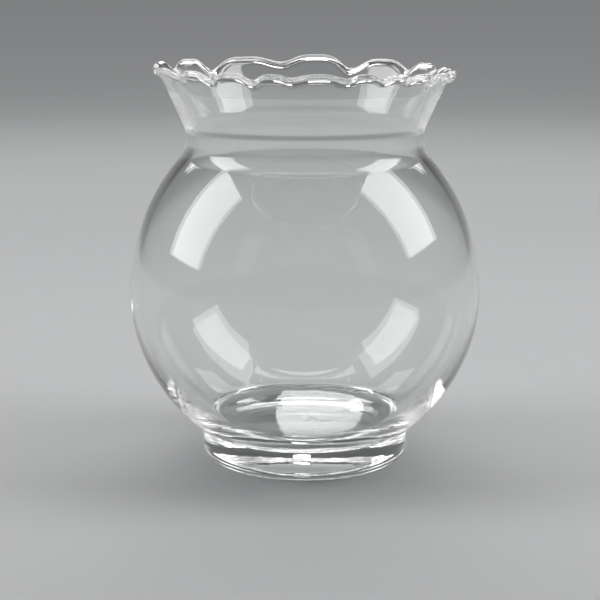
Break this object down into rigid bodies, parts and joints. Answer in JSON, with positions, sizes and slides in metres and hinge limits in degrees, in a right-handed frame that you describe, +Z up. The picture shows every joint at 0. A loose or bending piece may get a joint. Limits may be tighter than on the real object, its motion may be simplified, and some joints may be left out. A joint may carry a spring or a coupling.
{
  "type": "rose bowl vase",
  "caption": "Clear glass rose bowl vase with a heavy round foot, a near-spherical bowl, a narrow neck and a flared collar with a crimped lip; holds water and cut flowers.",
  "frame": {"origin": "centre of the foot, on the plane that the vase stands on", "axes": "+Z up along the axis of the vase, +X to the right and -Y towards the viewer in the picture"},
  "size_m": [0.1354, 0.1354, 0.1537],
  "materials": {
    "clear_glass": "clear polished glass, faintly green-grey in the thick base"
  },
  "bodies": {
    "root": {"foot": "clear_glass", "bowl": "clear_glass", "collar": "clear_glass", "crimped_lip": "clear_glass"}
  },
  "joints": []
}
